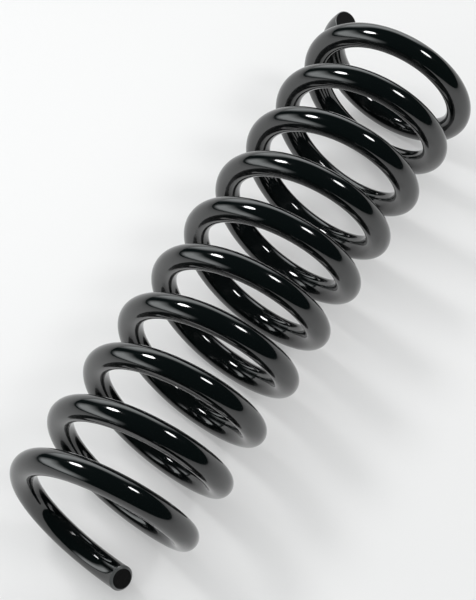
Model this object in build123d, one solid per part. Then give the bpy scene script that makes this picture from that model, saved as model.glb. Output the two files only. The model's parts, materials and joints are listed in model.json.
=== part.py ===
"""Automotive suspension coil spring: one round steel bar wound into a cylindrical helix.

The spring lies on its side. X runs along the coil axis from the lower (open) end to the upper
(closed) end, Z is up, and the origin is under the middle of the spring, on the surface that the
coils rest on.

A coil spring works by twisting its bar. Here the bar is divided where the twist is concentrated:
at both sides of every active coil, square to the bar. Each half coil is a solid of its own, and
it turns on its neighbour about the bar's own centreline, so the bar stays unbroken at any length.
Places on the bar are given in turns from the lower cut, and angles round the axis are measured
from +Y towards +Z.
"""

import os
from math import cos, radians, sin, sqrt

from build123d import *

# Bar and coil
BAR_D = 14.0  # diameter of the round bar, with its coating
COIL_R = 44.0  # coil radius, from the axis to the middle of the bar
PITCH = 33.4  # advance of an active coil per turn
TURNS = 10.43  # turns from cut end to cut end
START_ANGLE = 236.0  # where the lower cut end lies round the axis

# Lower end: open, so the pitch runs on to the cut, and the tip is tucked in a little
LOWER_TIP_PITCH = 35.8  # pitch at the cut
LOWER_RUN_TURNS = 0.8  # turns over which it is reached
LOWER_TUCK = 3.8  # how far the tip's radius is drawn in
LOWER_TUCK_TURNS = 0.2  # turns over which it is drawn in
LOWER_CHAMFER = 1.5  # bevel round the cut face

# Upper end: closed, so the last coil turns down towards the one below
UPPER_GAP = 2.7  # clear gap that is left between them at the cut
UPPER_RUN_TURNS = 1.38
UPPER_TUCK = 1.1
UPPER_TUCK_TURNS = 0.6
UPPER_CHAMFER = 0.4

# Division of the bar: a twist joint at each side of a coil, half a turn apart
HALF_TURN = 180.0
LOWER_SEAT_ANGLE = 360.0  # where the lower tip hands over to the rest of the dead turn
FIRST_JOINT_ANGLE = 540.0  # end of the dead turn that sits on the lower seat
CLOSING_TURNS = 1.0  # turns of the coil that turns down at the upper end
UPPER_SEAT_TURNS = 0.5  # least length of the seat coil beyond it

# The centreline is drawn in short spans of two arcs each, so every face along the bar is a torus
SPANS_PER_TURN = 16

BAR_R = BAR_D / 2
AXIS_HEIGHT = COIL_R + BAR_R


def turn_at(angle):
    return (angle - START_ANGLE) / 360


def eased(u):
    """Integral of the smooth step 3u^2 - 2u^3, from 0 at u = 0 to 1/2 at u = 1."""
    u = min(max(u, 0.0), 1.0)
    return u**3 - u**4 / 2


# The last turn advances by the bar and its gap, which sets how much the pitch falls by the cut
LAST_TURN_SHARE = UPPER_RUN_TURNS * (eased(1) - eased(1 - 1 / UPPER_RUN_TURNS))
UPPER_PITCH_DROP = (PITCH - BAR_D - UPPER_GAP) / LAST_TURN_SHARE

# As many active half coils as fit between the two ends
ACTIVE_TURNS = TURNS - turn_at(FIRST_JOINT_ANGLE) - CLOSING_TURNS - UPPER_SEAT_TURNS
ACTIVE_HALF_COILS = int(ACTIVE_TURNS * 360 / HALF_TURN)


def bar_centre(turn):
    """The bar's centreline, with the coil axis as local Z and the active pitch through 0 there."""
    low = (LOWER_RUN_TURNS - turn) / LOWER_RUN_TURNS
    high = (turn - TURNS + UPPER_RUN_TURNS) / UPPER_RUN_TURNS
    along = PITCH * turn
    along -= (LOWER_TIP_PITCH - PITCH) * LOWER_RUN_TURNS * eased(low)
    along -= UPPER_PITCH_DROP * UPPER_RUN_TURNS * eased(high)
    low_tuck = max(1 - turn / LOWER_TUCK_TURNS, 0.0)
    high_tuck = max(1 - (TURNS - turn) / UPPER_TUCK_TURNS, 0.0)
    radius = COIL_R - LOWER_TUCK * low_tuck**2 - UPPER_TUCK * high_tuck**2
    angle = radians(START_ANGLE + 360 * turn)
    return Vector(radius * cos(angle), radius * sin(angle), along)


def bar_direction(turn):
    """Unit tangent of the centreline, towards the upper end."""
    step = 1e-5
    return (bar_centre(turn + step) - bar_centre(turn - step)).normalized()


def arcs_between(start, start_way, end, end_way):
    """Two arcs that meet smoothly, from one place and direction to another."""
    chord = end - start
    turned = 1 - start_way.dot(end_way)
    along = chord.dot(start_way + end_way)
    reach = (sqrt(along**2 + 2 * turned * chord.dot(chord)) - along) / (2 * turned)
    middle = (start + end + (start_way - end_way) * reach) / 2
    return [
        TangentArc(start, middle, tangent=start_way),
        TangentArc(end, middle, tangent=-end_way).reversed(),
    ]


def wound_bar(first, last):
    """The stretch of bar between two places on the centreline, cut square to the bar."""
    count = round(SPANS_PER_TURN * (last - first))
    places = [first + (last - first) * i / count for i in range(count + 1)]
    arcs = []
    for near, far in zip(places, places[1:]):
        arcs += arcs_between(
            bar_centre(near), bar_direction(near), bar_centre(far), bar_direction(far)
        )
    section = Plane(bar_centre(first), z_dir=bar_direction(first)) * Circle(BAR_R)
    return sweep(section, path=Wire(arcs)).solid()


def bevelled(solid, turn, size):
    """The solid with a bevel round the flat face that it has at that place on the bar."""
    flats = solid.faces().filter_by(GeomType.PLANE)
    cut = flats.sort_by_distance(bar_centre(turn))[0]
    return solid.chamfer(size, None, cut.edges())


def half_coils():
    """The active coils, in halves that are all alike."""
    pieces = {}
    for number in range(ACTIVE_HALF_COILS):
        angle = FIRST_JOINT_ANGLE + HALF_TURN * number
        half = wound_bar(turn_at(angle), turn_at(angle + HALF_TURN))
        pieces[f"active_half_coil_{number + 1:02d}"] = half
    return pieces


def lower_end():
    """The dead turn at the open end: the cut tip and the half coil that follows it."""
    seat = turn_at(LOWER_SEAT_ANGLE)
    joint = turn_at(FIRST_JOINT_ANGLE)
    return {
        "lower_tip": bevelled(wound_bar(0, seat), 0, LOWER_CHAMFER),
        "lower_seat_coil": wound_bar(seat, joint),
    }


def upper_end():
    """The closed end: the coil that turns down, and the seat coil with the cut tip."""
    joint = turn_at(FIRST_JOINT_ANGLE + HALF_TURN * ACTIVE_HALF_COILS)
    seat = joint + CLOSING_TURNS
    return {
        "upper_closing_coil": wound_bar(joint, seat),
        "upper_seat_coil": bevelled(wound_bar(seat, TURNS), TURNS, UPPER_CHAMFER),
    }


def laid_down(pieces):
    """Turns the coil axis from local Z to X and centres the spring over the origin."""
    ends = [pieces["lower_tip"].bounding_box(), pieces["upper_seat_coil"].bounding_box()]
    middle = (ends[0].min.Z + ends[1].max.Z) / 2
    plane = Plane(origin=(-middle, 0, AXIS_HEIGHT), x_dir=(0, 1, 0), z_dir=(1, 0, 0))
    return plane, {name: plane.location * solid for name, solid in pieces.items()}


spring, pieces = laid_down(lower_end() | half_coils() | upper_end())

os.makedirs("parts", exist_ok=True)
for name, solid in pieces.items():
    solid.label = name
    export_step(solid, f"parts/{name}.step")


def described(turn):
    """A place on the centreline and its direction, in the spring's own frame."""
    place = spring.from_local_coords(bar_centre(turn))
    way = spring.from_local_coords(bar_direction(turn)) - spring.origin
    return f"at {tuple(round(v, 4) for v in place)} along {tuple(round(v, 6) for v in way)}"


for number in range(ACTIVE_HALF_COILS + 1):
    angle = FIRST_JOINT_ANGLE + HALF_TURN * number
    print(f"joint {number:02d}", described(turn_at(angle)))
print("lower cut", described(0))
print("upper cut", described(TURNS))
low = pieces["lower_tip"].bounding_box().min.X
high = pieces["upper_seat_coil"].bounding_box().max.X
print(f"free length {high - low:.2f}, from x {low:.3f} to {high:.3f}")
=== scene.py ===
# %% [markdown]
# # A coil spring for a car suspension
# The real spring is one round steel bar, wound hot or cold into ten coils, cut square at both
# ends and then powder coated black. Nothing is screwed or glued to it, so the whole look comes
# from one smooth shape and one glossy finish.
#
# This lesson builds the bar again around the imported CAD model, which is loaded first and stays
# as it is: it says how large the spring is, and which stretch of bar moves with which body.

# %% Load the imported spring
import json
import math

import bpy
from mathutils import Matrix, Vector


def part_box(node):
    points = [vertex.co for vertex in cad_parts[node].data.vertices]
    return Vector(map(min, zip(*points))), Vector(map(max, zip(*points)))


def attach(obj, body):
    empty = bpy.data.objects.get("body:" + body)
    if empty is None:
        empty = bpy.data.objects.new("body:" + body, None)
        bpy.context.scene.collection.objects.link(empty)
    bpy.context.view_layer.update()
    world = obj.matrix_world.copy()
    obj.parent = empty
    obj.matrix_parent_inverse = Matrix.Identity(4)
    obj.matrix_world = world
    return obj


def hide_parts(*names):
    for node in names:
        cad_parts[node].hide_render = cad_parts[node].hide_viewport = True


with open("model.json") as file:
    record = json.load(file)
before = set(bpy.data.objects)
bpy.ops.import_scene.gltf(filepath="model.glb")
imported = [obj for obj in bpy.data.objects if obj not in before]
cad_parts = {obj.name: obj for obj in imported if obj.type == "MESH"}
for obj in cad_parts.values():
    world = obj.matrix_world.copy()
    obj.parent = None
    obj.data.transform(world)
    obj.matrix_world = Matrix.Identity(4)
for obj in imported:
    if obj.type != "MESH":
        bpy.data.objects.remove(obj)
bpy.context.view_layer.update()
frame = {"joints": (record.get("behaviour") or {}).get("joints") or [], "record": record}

# %% [markdown]
# ## Sizes
# Blender works in metres here. Whatever the CAD model can tell is read from it: its joints sit on
# the bar's centreline at both sides of every coil, and two of its mounts are the centres of the
# cut faces. From these come the coil radius, the bar's thickness, the pitch and the place where
# the bar starts. Only the way the two ends leave the plain helix has to be given.

# %% Sizes that the CAD model gives
joint_places = [Vector(joint["pos_m"]) for joint in frame["joints"]]
mount_places = {m["name"]: Vector(m["pos_m"]) for m in frame["record"]["mounts"]}
lower_cut = mount_places["lower_end_stop"]
upper_cut = mount_places["upper_end_stop"]

AXIS_HEIGHT = joint_places[0].z
COIL_RADIUS = abs(joint_places[0].y)
BAR_RADIUS = AXIS_HEIGHT - COIL_RADIUS
PITCH = 2 * (joint_places[1].x - joint_places[0].x)


def angle_at(place):
    """Angle round the coil axis, in degrees from +Y towards +Z."""
    return math.degrees(math.atan2(place.z - AXIS_HEIGHT, place.y)) % 360


START_ANGLE = angle_at(lower_cut)
FIRST_JOINT = ((angle_at(joint_places[0]) - START_ANGLE) % 360) / 360
LAST_JOINT = FIRST_JOINT + (len(joint_places) - 1) / 2
CLOSING_END = LAST_JOINT + 1
TURNS = CLOSING_END + ((angle_at(upper_cut) - angle_at(joint_places[-1])) % 360) / 360
print(f"bar {2000 * BAR_RADIUS:.1f} mm, coil radius {1000 * COIL_RADIUS:.1f} mm,",
      f"pitch {1000 * PITCH:.1f} mm, {TURNS:.3f} turns")

# %% Sizes of the two ends
LOWER_TIP_PITCH = 0.0358
LOWER_RUN_TURNS = 0.8
LOWER_TUCK = 0.0038
LOWER_TUCK_TURNS = 0.2
LOWER_BEVEL = 0.0015

UPPER_TIP_PITCH = 0.008293
UPPER_RUN_TURNS = 1.38
UPPER_TUCK = 0.0011
UPPER_TUCK_TURNS = 0.6
UPPER_BEVEL = 0.0004

LOWER_TIP_END = (360 - START_ANGLE) / 360
# at the lower cut the pitch has run on by half of what it gains over the run
START_X = lower_cut.x + (LOWER_TIP_PITCH - PITCH) * LOWER_RUN_TURNS / 2

# %% [markdown]
# ## The camera
# The spring is seen from above and from its lower end, a little to one side, with the coils
# running from the bottom left of the picture to the top right. The camera's three directions are
# written out as a matrix: its columns are right, up and backwards. A long lens keeps the coils
# nearly the same size from end to end.

# %% Camera
CAMERA_PLACE = Vector((-0.30741, -0.17298, 0.77609))
CAMERA_RIGHT = Vector((0.5224, -0.8527, 0.0080))
CAMERA_AHEAD = Vector((0.3701, 0.2183, -0.9030))
LENS_MM = 88.36

camera_data = bpy.data.cameras.new("camera")
camera_data.lens = LENS_MM
camera = bpy.data.objects.new("camera", camera_data)
bpy.context.scene.collection.objects.link(camera)
bpy.context.scene.camera = camera


def looking(place, ahead, right):
    """A matrix at place that looks ahead, with its X to the right."""
    back = -ahead.normalized()
    up = back.cross(right).normalized()
    side = up.cross(back)
    turn = Matrix((side, up, back)).transposed().to_4x4()
    return Matrix.Translation(place) @ turn


camera.matrix_world = looking(CAMERA_PLACE, CAMERA_AHEAD, CAMERA_RIGHT)
print("camera height", round(camera.location.z, 3), "m, lens", camera_data.lens, "mm")

# %% [markdown]
# ## Writing formulas as nodes
# A bar that follows a rule is a good job for Geometry Nodes, but a long formula is hard to read
# as a web of Math nodes. So a small class stands for the output of a node: adding or multiplying
# two of them adds the Math node that does it. The formulas below then read as they would on paper.

# %% A number or a vector that is worked out by nodes
def feed(socket, value):
    """Gives an input socket a constant, or a link from another node."""
    if isinstance(value, Term):
        socket.id_data.links.new(value.socket, socket)
    else:
        socket.default_value = value


class Term:
    """The output of a node, which can be used in a formula."""

    def __init__(self, socket):
        self.socket = socket

    def __add__(self, other):
        return maths("ADD", self, other)

    def __sub__(self, other):
        return maths("SUBTRACT", self, other)

    def __rsub__(self, other):
        return maths("SUBTRACT", other, self)

    def __mul__(self, other):
        return maths("MULTIPLY", self, other)

    def __rmul__(self, other):
        return maths("MULTIPLY", self, other)

    def __truediv__(self, other):
        return maths("DIVIDE", self, other)


def add_node(tree, kind, inputs=None, **settings):
    """Adds a node, sets its options and feeds its inputs, by name or by number."""
    made = tree.nodes.new(kind)
    for name, value in settings.items():
        setattr(made, name, value)
    for key, value in (inputs or {}).items():
        feed(made.inputs[key], value)
    return made


def tree_of(values):
    """The tree that a formula belongs to, taken from the first of its values that is a node's."""
    return next(v.socket.id_data for v in values if isinstance(v, Term))


def maths(operation, *values):
    inputs = dict(enumerate(values))
    return Term(add_node(tree_of(values), "ShaderNodeMath", inputs, operation=operation).outputs[0])


def vectors(operation, *values):
    inputs = dict(enumerate(values))
    made = add_node(tree_of(values), "ShaderNodeVectorMath", inputs, operation=operation)
    return Term(made.outputs["Value" if operation in ("DOT_PRODUCT", "LENGTH") else "Vector"])


def scaled(vector, factor):
    inputs = {"Vector": vector, "Scale": factor}
    made = add_node(tree_of([vector, factor]), "ShaderNodeVectorMath", inputs, operation="SCALE")
    return Term(made.outputs["Vector"])


def vector_of(x, y, z):
    inputs = {"X": x, "Y": y, "Z": z}
    return Term(add_node(tree_of([x, y, z]), "ShaderNodeCombineXYZ", inputs).outputs[0])


def parts_of(vector):
    made = add_node(tree_of([vector]), "ShaderNodeSeparateXYZ", {0: vector})
    return [Term(output) for output in made.outputs]


def clipped(value):
    return maths("MINIMUM", maths("MAXIMUM", value, 0.0), 1.0)


def squared(value):
    return value * value


# %% Inputs and outputs of a node tree
SOCKETS = {float: "NodeSocketFloat", int: "NodeSocketInt", bpy.types.Material: "NodeSocketMaterial"}


def new_tree(name, inputs, outputs):
    """A node tree with named inputs and outputs. Returns it, its inputs and its end node."""
    tree = bpy.data.node_groups.new(name, "GeometryNodeTree")
    for label, value in inputs.items():
        kind = SOCKETS[type(value)]
        socket = tree.interface.new_socket(label, in_out="INPUT", socket_type=kind)
        if not isinstance(value, bpy.types.Material):
            socket.default_value = value
    for label, kind in outputs.items():
        tree.interface.new_socket(label, in_out="OUTPUT", socket_type=kind)
    start = tree.nodes.new("NodeGroupInput")
    end = tree.nodes.new("NodeGroupOutput")
    given = {label: Term(start.outputs[label]) for label in inputs}
    return tree, given, end


# %% [markdown]
# ## The bar's centreline
# A plain helix climbs by one pitch each turn at one radius. The real spring leaves it at both
# ends. At the lower end the pitch runs on a little steeper and the tip is drawn in by the tool
# that gripped it; at the upper end the pitch falls away, so that the last coil closes towards the
# one below. A smooth step blends one pitch into the other. What is needed is how far along the
# axis the bar has come, which is that step added up: u^3 - u^4 / 2, where u goes from 0 to 1.

# %% The centreline as a node group
HELIX = {
    "Start X": START_X,
    "Axis height": AXIS_HEIGHT,
    "Coil radius": COIL_RADIUS,
    "Pitch": PITCH,
    "Turns": TURNS,
    "Start angle": math.radians(START_ANGLE),
    "Lower tip pitch": LOWER_TIP_PITCH,
    "Lower run turns": LOWER_RUN_TURNS,
    "Lower tuck": LOWER_TUCK,
    "Lower tuck turns": LOWER_TUCK_TURNS,
    "Upper tip pitch": UPPER_TIP_PITCH,
    "Upper run turns": UPPER_RUN_TURNS,
    "Upper tuck": UPPER_TUCK,
    "Upper tuck turns": UPPER_TUCK_TURNS,
}


def added_up(step):
    """The smooth step 3u^2 - 2u^3 added up from 0 to u."""
    u = clipped(step)
    return u * u * u * (1.0 - u * 0.5)


def build_centreline():
    tree, given, end = new_tree(
        "Bar centre", {"Turn": 0.0, **HELIX}, {"Centre": "NodeSocketVector"}
    )
    turn = given["Turn"]
    pitch = given["Pitch"]
    low_run = given["Lower run turns"]
    high_run = given["Upper run turns"]
    along = given["Start X"] + pitch * turn
    low_gain = (given["Lower tip pitch"] - pitch) * low_run
    along = along - low_gain * added_up((low_run - turn) / low_run)
    high_loss = (pitch - given["Upper tip pitch"]) * high_run
    along = along - high_loss * added_up((turn - given["Turns"] + high_run) / high_run)
    low_tuck = maths("MAXIMUM", 1.0 - turn / given["Lower tuck turns"], 0.0)
    to_cut = given["Turns"] - turn
    high_tuck = maths("MAXIMUM", 1.0 - to_cut / given["Upper tuck turns"], 0.0)
    radius = given["Coil radius"] - given["Lower tuck"] * squared(low_tuck)
    radius = radius - given["Upper tuck"] * squared(high_tuck)
    angle = given["Start angle"] + turn * math.tau
    centre = vector_of(
        along,
        radius * maths("COSINE", angle),
        given["Axis height"] + radius * maths("SINE", angle),
    )
    feed(end.inputs["Centre"], centre)
    return tree


centreline_tree = build_centreline()
print("nodes in the centreline group:", len(centreline_tree.nodes))

# %% [markdown]
# ## The bar
# Curve to Mesh could sweep a circle along a curve, but its ends are flat, its section twists as
# it likes, and two stretches that meet would each shade their last ring on their own, which shows
# as a seam on a glossy bar. So the bar starts as a plain cylinder of radius 1 and height 1, and
# every point of it is carried to its place: its height says how far along the bar it is, and its
# X and Y say where it is on the round section, which stands square to the bar. The normals come
# from the same formula, so the seams between stretches can't be seen, at rest or under load.
# The rings on the cylinder's ends make the cut face and the bevel round it.

# %% Shape of a cut end
CAP_RINGS = 40  # rings from the rim of a cut end to its middle
FLAT_SHARE = 0.42  # share of those rings that lie on the flat face, the rest are on the bevel
CUT_FACE_SHARE = 0.45  # the rough face reaches this far, just past the start of the bevel
# how deep each ring of the bevel lies behind the face, and how far it is drawn in from the side
DEPTH_CURVE = [(0.0, 0.0), (FLAT_SHARE, 0.0), (0.50, 0.05), (0.60, 0.22), (0.90, 0.86), (1.0, 1.0)]
INSET_CURVE = [(0.0, 1.0), (FLAT_SHARE, 1.0), (0.50, 0.92), (0.60, 0.76), (0.90, 0.14), (1.0, 0.0)]


def curve_of(tree, factor, points):
    """A curve from 0 to 1, through the points given."""
    node = add_node(tree, "ShaderNodeFloatCurve", {"Value": factor})
    line = node.mapping.curves[0]
    for place in points[1:-1]:
        line.points.new(*place)
    for point, place in zip(sorted(line.points, key=lambda p: p.location.x), points):
        point.location = place
        point.handle_type = "AUTO_CLAMPED"
    node.mapping.update()
    return Term(node.outputs[0])


# %% The bar as a node tree
BAR = {
    "From turn": 0.0,
    "To turn": 1.0,
    "Bar radius": BAR_RADIUS,
    "Start bevel": 0.0,
    "End bevel": 0.0,
    "Sides": 64,
    "Rings": 200,
    "Cap rings": 1,
    **HELIX,
}
LITTLE_TURN = 0.002  # how far ahead and behind the bar's direction is looked up
HALF_HEIGHT = 0.5  # of the plain cylinder, from its middle to either end
ALMOST = 0.9998  # a share that only rounding keeps from being whole
ALL_OF_AN_EDGE = 0.99  # an average over an edge's two points, where both of them count


def on_domain(tree, value, domain, kind="FLOAT_VECTOR"):
    """A value as it is on points or on faces, whatever it is asked for."""
    made = add_node(
        tree, "GeometryNodeFieldOnDomain", {"Value": value}, domain=domain, data_type=kind
    )
    return Term(made.outputs[0])


def vector_switch(tree, switch, if_false, if_true):
    inputs = {"Switch": switch, "False": if_false, "True": if_true}
    return Term(add_node(tree, "GeometryNodeSwitch", inputs, input_type="VECTOR").outputs[0])


def with_material(tree, geometry, material, selection=True):
    inputs = {"Geometry": geometry, "Selection": selection, "Material": material}
    return Term(add_node(tree, "GeometryNodeSetMaterial", inputs).outputs[0])


def centre_at(tree, given, turn):
    inputs = {"Turn": turn, **{label: given[label] for label in HELIX}}
    return Term(add_node(tree, "GeometryNodeGroup", inputs, node_tree=centreline_tree).outputs[0])


def build_bar(coat, painted_sheen_edge, cut_steel):
    inputs = {**BAR, "Coating": coat, "Bevel": painted_sheen_edge, "Cut face": cut_steel}
    tree, given, end = new_tree("Wound bar", inputs, {"Bar": "NodeSocketGeometry"})
    # the plain cylinder, and where each of its points is on it
    cylinder = add_node(
        tree,
        "GeometryNodeMeshCylinder",
        {
            "Vertices": given["Sides"],
            "Side Segments": given["Rings"],
            "Fill Segments": given["Cap rings"],
            "Radius": 1.0,
            "Depth": 1.0,
        },
        fill_type="TRIANGLE_FAN",
    )
    place = Term(add_node(tree, "GeometryNodeInputPosition").outputs[0])
    x, y, height = parts_of(place)
    from_axis = vectors("LENGTH", vector_of(x, y, 0.0))
    is_end = maths("GREATER_THAN", height, 0.0)
    bevel = given["Start bevel"] + (given["End bevel"] - given["Start bevel"]) * is_end
    # how far along the bar it goes, and how far from the bar's centre
    round_turn = vectors("LENGTH", vector_of(given["Coil radius"] * math.tau, given["Pitch"], 0.0))
    depth = curve_of(tree, from_axis, DEPTH_CURVE) / round_turn
    first = given["From turn"] + given["Start bevel"] * depth
    last = given["To turn"] - given["End bevel"] * depth
    turn = first + (last - first) * (height + HALF_HEIGHT)
    inset = curve_of(tree, from_axis, INSET_CURVE)
    flat_share = maths("MINIMUM", from_axis / FLAT_SHARE, 1.0)
    has_bevel = maths("GREATER_THAN", bevel, 0.0)
    bevelled_reach = (given["Bar radius"] - bevel * inset) * flat_share
    plain_reach = given["Bar radius"] * from_axis
    reach = plain_reach + (bevelled_reach - plain_reach) * has_bevel
    # the section's own axes: outwards from the coil axis, and square to that and to the bar
    centre = centre_at(tree, given, turn)
    ahead = centre_at(tree, given, turn + LITTLE_TURN)
    behind = centre_at(tree, given, turn - LITTLE_TURN)
    along = vectors("NORMALIZE", vectors("SUBTRACT", ahead, behind))
    centre_x = parts_of(centre)[0]
    outwards = vectors("SUBTRACT", centre, vector_of(centre_x, 0.0, given["Axis height"]))
    leaning = scaled(along, vectors("DOT_PRODUCT", outwards, along))
    outwards = vectors("NORMALIZE", vectors("SUBTRACT", outwards, leaning))
    across = vectors("CROSS_PRODUCT", along, outwards)
    around = vectors("ADD", scaled(outwards, x), scaled(across, y))
    around = vectors("NORMALIZE", around)
    target = vectors("ADD", centre, scaled(around, reach))
    # the side keeps the formula's normals, and the ends take those of their faces
    keep = tree.nodes.new("GeometryNodeCaptureAttribute")
    keep.domain = "POINT"
    keep.capture_items.new("VECTOR", "Around")
    keep.capture_items.new("FLOAT", "From axis")
    keep.capture_items.new("FLOAT", "On rim")
    feed(keep.inputs["Geometry"], Term(cylinder.outputs["Mesh"]))
    feed(keep.inputs["Around"], around)
    feed(keep.inputs["From axis"], from_axis)
    to_rim = from_axis * maths("ABSOLUTE", height) / HALF_HEIGHT
    feed(keep.inputs["On rim"], maths("GREATER_THAN", to_rim, ALMOST))
    moved = add_node(
        tree,
        "GeometryNodeSetPosition",
        {"Geometry": Term(keep.outputs["Geometry"]), "Position": target},
    )
    smooth = add_node(tree, "GeometryNodeSetShadeSmooth", {"Geometry": Term(moved.outputs[0])})
    # an edge is on a rim if both its points are, and there the side and the end part ways
    on_rim = on_domain(tree, Term(keep.outputs["On rim"]), "POINT", "FLOAT")
    rim = {
        "Geometry": Term(smooth.outputs[0]),
        "Selection": maths("GREATER_THAN", on_rim, ALL_OF_AN_EDGE),
        "Shade Smooth": False,
    }
    creased = add_node(tree, "GeometryNodeSetShadeSmooth", rim, domain="EDGE")
    # a plain end is flat, and a bevelled one is shaded as one rounded surface
    normal = Term(add_node(tree, "GeometryNodeInputNormal").outputs["Normal"])
    any_bevel = maths("GREATER_THAN", given["Start bevel"] + given["End bevel"], 0.0)
    of_end = vector_switch(
        tree, any_bevel, on_domain(tree, normal, "FACE"), on_domain(tree, normal, "POINT")
    )
    on_side = Term(cylinder.outputs["Side"])
    chosen = vector_switch(tree, on_side, of_end, Term(keep.outputs["Around"]))
    shaded = add_node(
        tree,
        "GeometryNodeSetMeshNormal",
        {"Mesh": Term(creased.outputs[0]), "Custom Normal": chosen},
        mode="FREE",
        domain="CORNER",
    )
    real = add_node(tree, "GeometryNodeRealizeInstances", {"Geometry": Term(shaded.outputs[0])})
    on_end = (1.0 - on_side) * any_bevel
    on_face = on_end * maths("LESS_THAN", Term(keep.outputs["From axis"]), CUT_FACE_SHARE)
    coated = with_material(tree, Term(real.outputs[0]), given["Coating"])
    # the bevel faces take the grey material, whose colour is a painted sheen
    ground = with_material(tree, coated, given["Bevel"], on_end)
    feed(end.inputs["Bar"], with_material(tree, ground, given["Cut face"], on_face))
    return tree


# %% [markdown]
# ## Black powder coat
# Powder coat melts into a thick, very even skin. It is black all the way through, so nearly all
# that is seen of it is reflection: the lamps, the pale floor and the dark room round them. The
# melt leaves a fine ripple, called orange peel, with bumps a millimetre or two apart, and longer
# waves under it. Both are noise on Object coordinates, so they run on from one stretch of bar to
# the next. The index of refraction is higher than that of clear lacquer, because the pigment
# makes the skin shine more.

# %% Powder coat
COAT_BLACK = (0.0016, 0.0024, 0.0025, 1.0)
COAT_IOR = 1.75
COAT_ROUGHNESS = (0.05, 0.10)
PATCH_SCALE = 60  # patches of more and less gloss, per metre
WAVE_SCALE = 95
WAVE_HEIGHT = 0.00006
PEEL_SCALE = 480
PEEL_HEIGHT = 0.000008


def new_material(name, base, ior):
    material = bpy.data.materials.new(name)
    material.use_nodes = True
    shader = material.node_tree.nodes["Principled BSDF"]
    shader.inputs["Base Color"].default_value = base
    shader.inputs["IOR"].default_value = ior
    return material, shader


def object_noise(tree, scale, detail, seed_offset=(0.0, 0.0, 0.0)):
    """Noise on the piece's own coordinates, shifted so that two noises don't look alike."""
    place = Term(add_node(tree, "ShaderNodeTexCoord").outputs["Object"])
    shifted = vectors("ADD", place, seed_offset)
    inputs = {"Vector": shifted, "Scale": scale, "Detail": detail}
    return Term(add_node(tree, "ShaderNodeTexNoise", inputs).outputs["Fac"])


def spread(value, low, high, from_low=0.35, from_high=0.65):
    """Maps a noise value to a range."""
    inputs = {0: value, 1: from_low, 2: from_high, 3: low, 4: high}
    return Term(add_node(tree_of([value]), "ShaderNodeMapRange", inputs).outputs[0])


def bump(tree, height, distance, below=None):
    inputs = {"Height": height, "Distance": distance, "Strength": 1.0}
    if below is not None:
        inputs["Normal"] = below
    return Term(add_node(tree, "ShaderNodeBump", inputs).outputs[0])


def powder_coat():
    material, shader = new_material("glossy_black_coat", COAT_BLACK, COAT_IOR)
    tree = material.node_tree
    waves = bump(tree, object_noise(tree, WAVE_SCALE, 1.0, (0.3, 0.1, 0.7)), WAVE_HEIGHT)
    peel = bump(tree, object_noise(tree, PEEL_SCALE, 1.5), PEEL_HEIGHT, waves)
    feed(shader.inputs["Normal"], peel)
    patches = object_noise(tree, PATCH_SCALE, 3.0, (0.9, 0.2, 0.4))
    feed(shader.inputs["Roughness"], spread(patches, *COAT_ROUGHNESS))
    return material


# %% [markdown]
# ## The cut face
# The bar is cut to length with a saw or a shear, and its end gets the same powder as the rest.
# The face stays rough under the skin, so it looks almost dead black beside the glossy bar, with
# faint lines from the cut across it. The bevel that takes off the sharp edge was ground by hand;
# its satin grey, much lighter than the black coat, is a painted sheen.

# %% Coated saw cut
CUT_BLACK = (0.003, 0.003, 0.003, 1.0)
CUT_ROUGHNESS = (0.45, 0.65)
CUT_GRAIN_SCALE = 1400
CUT_LINES = 900  # lines per metre across the face
CUT_STRETCH = (0.15, 1.0, 0.15)  # the lines are long in X and Z, and narrow in Y
CUT_DEPTH = 0.00012


def coated_cut():
    material, shader = new_material("coated_cut_face", CUT_BLACK, 1.5)
    shader.inputs["Specular IOR Level"].default_value = 0.2
    tree = material.node_tree
    grain = object_noise(tree, CUT_GRAIN_SCALE, 3.0)
    place = Term(add_node(tree, "ShaderNodeTexCoord").outputs["Object"])
    squeezed = vectors("MULTIPLY", place, CUT_STRETCH)
    inputs = {"Vector": squeezed, "Scale": CUT_LINES, "Detail": 2.0}
    lines = Term(add_node(tree, "ShaderNodeTexNoise", inputs).outputs["Fac"])
    feed(shader.inputs["Normal"], bump(tree, grain + lines, CUT_DEPTH))
    feed(shader.inputs["Roughness"], spread(grain, *CUT_ROUGHNESS))
    return material


# %% Ground edge round a cut, grey with a painted sheen
# the bevel's grey base colour is a painted sheen, much lighter than the coat round it
EDGE_PAINTED_SHEEN_GREY = (0.095, 0.100, 0.100, 1.0)
EDGE_IOR = 1.6
EDGE_ROUGHNESS = (0.28, 0.42)
SCRATCH_SCALE = 1100
SCRATCH_DEPTH = 0.00008


def edge_with_painted_sheen():
    material, shader = new_material("bevel_with_painted_sheen", EDGE_PAINTED_SHEEN_GREY, EDGE_IOR)
    tree = material.node_tree
    scratches = object_noise(tree, SCRATCH_SCALE, 3.0, (0.2, 0.6, 0.1))
    feed(shader.inputs["Normal"], bump(tree, scratches, SCRATCH_DEPTH))
    feed(shader.inputs["Roughness"], spread(scratches, *EDGE_ROUGHNESS))
    return material


coat = powder_coat()
painted_sheen_edge = edge_with_painted_sheen()
cut_steel = coated_cut()
bar_tree = build_bar(coat, painted_sheen_edge, cut_steel)
print("nodes in the bar tree:", len(bar_tree.nodes))

# %% [markdown]
# ## One stretch of bar for each stretch in the CAD model
# The CAD model is divided where the twist of the bar is gathered, so each stretch becomes a piece
# that rides on its own body. The modifier's inputs are set before the piece is first worked out,
# then the result is turned into a plain mesh and the modifier is gone.

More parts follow.
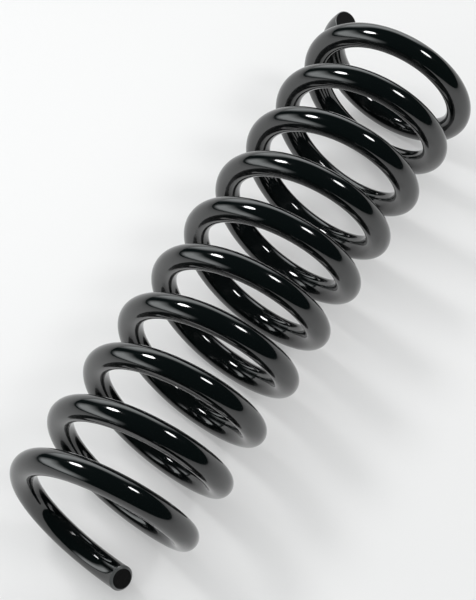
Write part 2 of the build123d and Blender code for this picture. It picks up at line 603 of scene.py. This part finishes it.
# %% Where each stretch begins and ends
STRETCHES = {
    "lower_tip": (0.0, LOWER_TIP_END),
    "lower_seat_coil": (LOWER_TIP_END, FIRST_JOINT),
    "upper_closing_coil": (LAST_JOINT, CLOSING_END),
    "upper_seat_coil": (CLOSING_END, TURNS),
}
for number in range(len(joint_places) - 1):
    start = FIRST_JOINT + number / 2
    STRETCHES[f"active_half_coil_{number + 1:02d}"] = (start, start + 0.5)

START_BEVELS = {"lower_tip": LOWER_BEVEL}
END_BEVELS = {"upper_seat_coil": UPPER_BEVEL}
RINGS_PER_TURN = 200

body_of_node = {
    node: body
    for body, nodes in frame["record"]["behaviour"]["bodies"].items()
    for node in nodes
}


# %% Build the stretches
def set_inputs(modifier, values):
    """Sets a node modifier's inputs by their identifiers."""
    sockets = {s.name: s.identifier for s in modifier.node_group.interface.items_tree}
    for name, value in values.items():
        modifier[sockets[name]] = value


def plain_mesh(tree, values, name):
    """What the node tree makes with these inputs, as an object with a plain mesh."""
    carrier = bpy.data.objects.new("carrier", bpy.data.meshes.new("carrier"))
    bpy.context.scene.collection.objects.link(carrier)
    modifier = carrier.modifiers.new("nodes", "NODES")
    modifier.node_group = tree
    set_inputs(modifier, values)
    evaluated = carrier.evaluated_get(bpy.context.evaluated_depsgraph_get())
    mesh = bpy.data.meshes.new_from_object(evaluated)
    mesh.name = name
    bpy.data.objects.remove(carrier)
    piece = bpy.data.objects.new(name, mesh)
    bpy.context.scene.collection.objects.link(piece)
    return piece


def drop_unused_finishes(mesh):
    """Keeps only the materials that some face has."""
    used = sorted({face.material_index for face in mesh.polygons})
    finishes = [mesh.materials[index] for index in used]
    places = [used.index(face.material_index) for face in mesh.polygons]
    mesh.materials.clear()
    for finish in finishes:
        mesh.materials.append(finish)
    mesh.polygons.foreach_set("material_index", places)


def coated_stretch(node):
    first, last = STRETCHES[node]
    start_bevel = START_BEVELS.get(node, 0.0)
    end_bevel = END_BEVELS.get(node, 0.0)
    values = {
        "From turn": first,
        "To turn": last,
        "Start bevel": start_bevel,
        "End bevel": end_bevel,
        "Rings": math.ceil(RINGS_PER_TURN * (last - first)),
        "Cap rings": CAP_RINGS if start_bevel or end_bevel else 1,
        "Coating": coat,
        "Bevel": painted_sheen_edge,
        "Cut face": cut_steel,
    }
    piece = plain_mesh(bar_tree, values, f"coated_{node}")
    drop_unused_finishes(piece.data)
    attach(piece, body_of_node[node])
    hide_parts(node)
    return piece


pieces = {node: coated_stretch(node) for node in STRETCHES}
faces = sum(len(piece.data.polygons) for piece in pieces.values())
print("pieces:", len(pieces), "faces:", faces)

# %% [markdown]
# ## Does it match the CAD model?
# Each piece should fill the same box as the solid it stands for. The largest difference between
# the two is printed in millimetres.

# %% Compare with the CAD solids
worst = 0.0
for node, piece in pieces.items():
    low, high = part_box(node)
    corners = [Vector(corner) for corner in piece.bound_box]
    own_low = Vector(map(min, zip(*corners)))
    own_high = Vector(map(max, zip(*corners)))
    worst = max(worst, *(abs(v) for v in (own_low - low)), *(abs(v) for v in (own_high - high)))
print(f"largest difference from a CAD box: {1000 * worst:.3f} mm")

# %% [markdown]
# ## Floor
# The spring lies on a pale, matt light table, as small products often do. Some of the table's
# light comes through from below, which keeps the shadows on it faint. It has only the faintest
# texture, and it is large enough to reach past every edge of the picture.

# %% Floor
FLOOR_REACH = 12.0
WALL_HEIGHT = 12.0
RING_POINTS = 96
FLOOR_PALE = (0.52, 0.52, 0.52, 1.0)
FLOOR_GLOW = 0.28  # light that comes through from below
FIBRE_SCALE = 700
FIBRE_HEIGHT = 0.00003


def table_top():
    material, shader = new_material("pale_floor", FLOOR_PALE, 1.45)
    tree = material.node_tree
    shader.inputs["Roughness"].default_value = 0.85
    shader.inputs["Specular IOR Level"].default_value = 0.2
    shader.inputs["Emission Color"].default_value = (1.0, 1.0, 1.0, 1.0)
    shader.inputs["Emission Strength"].default_value = FLOOR_GLOW
    fibres = object_noise(tree, FIBRE_SCALE, 3.0)
    feed(shader.inputs["Normal"], bump(tree, fibres, FIBRE_HEIGHT))
    return material


def stage_piece(name, points, faces, material):
    mesh = bpy.data.meshes.new(name)
    mesh.from_pydata(points, [], faces)
    mesh.materials.append(material)
    made = bpy.data.objects.new(name, mesh)
    bpy.context.scene.collection.objects.link(made)
    return made


def ring(radius, height):
    steps = [math.tau * i / RING_POINTS for i in range(RING_POINTS)]
    return [(radius * math.cos(a), radius * math.sin(a), height) for a in steps]


pale = table_top()
floor = stage_piece("floor", ring(FLOOR_REACH, 0.0), [tuple(range(RING_POINTS))], pale)

# %% [markdown]
# A low view from the side looks past the floor. A round wall of the floor's own colour stands at
# its edge, so that there is no dark horizon. Only the camera sees it: in the coat's reflections the
# room stays dark.

# %% Wall
wall_faces = [
    ((i + 1) % RING_POINTS, i, i + RING_POINTS, (i + 1) % RING_POINTS + RING_POINTS)
    for i in range(RING_POINTS)
]
wall_points = ring(FLOOR_REACH, 0.0) + ring(FLOOR_REACH, WALL_HEIGHT)
wall = stage_piece("wall", wall_points, wall_faces, pale)
wall.visible_glossy = False
wall.visible_diffuse = False
wall.visible_shadow = False
print("floor radius:", FLOOR_REACH, "m")

# %% [markdown]
# ## Light
# Two small soft lamps stand on either side of the spring, about 0.8 m away. Each one draws a
# short bright streak on every coil and a soft shadow on the floor. A wide, even light from above
# fills the shadows; it is left out of reflections, so that the black stays black. The room is
# dark, with two pale surfaces low down that show as broad grey bands along the bar.

# %% Lamps
LAMP_SIZE = 0.20
LAMPS = {
    "lamp_far_side": (Vector((0.016, 0.474, 0.650)), 2.3),
    "lamp_near_side": (Vector((0.354, -0.378, 0.705)), 1.6),
}
FILL_HEIGHT = 2.2
FILL_SIZE = 6.0
FILL_WATTS = 85.0
LAMP_AIM = Vector((0.0, 0.0, 0.05))


def add_lamp(name, place, watts, size):
    data = bpy.data.lights.new(name, "AREA")
    data.shape = "DISK"
    data.size = size
    data.energy = watts
    lamp = bpy.data.objects.new(name, data)
    bpy.context.scene.collection.objects.link(lamp)
    ahead = LAMP_AIM - place
    lamp.matrix_world = looking(place, ahead, ahead.cross(Vector((0, 0, 1))))
    lamp.visible_camera = False
    return lamp


for name, (place, watts) in LAMPS.items():
    add_lamp(name, place, watts, LAMP_SIZE)
# a centimetre off the axis, because looking() needs a way that isn't straight down
fill = add_lamp("fill_overhead", Vector((0.0, 0.01, FILL_HEIGHT)), FILL_WATTS, FILL_SIZE)
fill.visible_glossy = False
print("lamps:", ", ".join(LAMPS), "and", fill.name)

# %% Room
ROOM_DARK = (0.018, 0.028, 0.028)
PATCH_TINT = (0.96, 1.0, 1.0)
SIDE_BLUR = 0.08
LOW_BLUR = 3.0  # degrees
HIGH_BLUR = 8.0
LEAST_LEVEL = 0.0001  # keeps the division by the level distance safe straight up and down
PATCHES = [
    # middle azimuth, half width, lowest and highest elevation in degrees, brightness
    (30.0, 35.0, -5.0, 26.0, 1.9),
    (130.0, 32.0, 5.0, 26.0, 2.2),
]


def fade(value, degrees, blur, low, high):
    """From low to high as the sine of an elevation passes the one given in degrees."""
    ends = [math.sin(math.radians(degrees + side)) for side in (-blur, blur)]
    return spread(value, low, high, *ends)


def patch_of_room(way, azimuth, half, low, high, strength):
    """How bright a pale surface in the room is, seen along a way."""
    x, y, z = parts_of(way)
    middle = math.radians(azimuth)
    level = maths("SQRT", maths("MAXIMUM", 1.0 - squared(z), LEAST_LEVEL))
    facing = (x * math.cos(middle) + y * math.sin(middle)) / level
    edge = math.cos(math.radians(half))
    side = spread(facing, 0.0, 1.0, edge - SIDE_BLUR, edge + SIDE_BLUR)
    up = fade(z, low, LOW_BLUR, 0.0, 1.0)
    down = fade(z, high, HIGH_BLUR, 1.0, 0.0)
    return side * up * down * strength


def build_room():
    world = bpy.data.worlds.new("room")
    bpy.context.scene.world = world
    world.use_nodes = True
    tree = world.node_tree
    way = Term(add_node(tree, "ShaderNodeTexCoord").outputs["Generated"])
    first, second = [patch_of_room(way, *patch) for patch in PATCHES]
    colour = vectors("ADD", scaled(PATCH_TINT, first + second), ROOM_DARK)
    feed(tree.nodes["Background"].inputs["Color"], colour)
    print("pale surfaces in the room:", len(PATCHES))


build_room()

# %% Colours as they are, with no film curve
bpy.context.scene.view_settings.view_transform = "Standard"
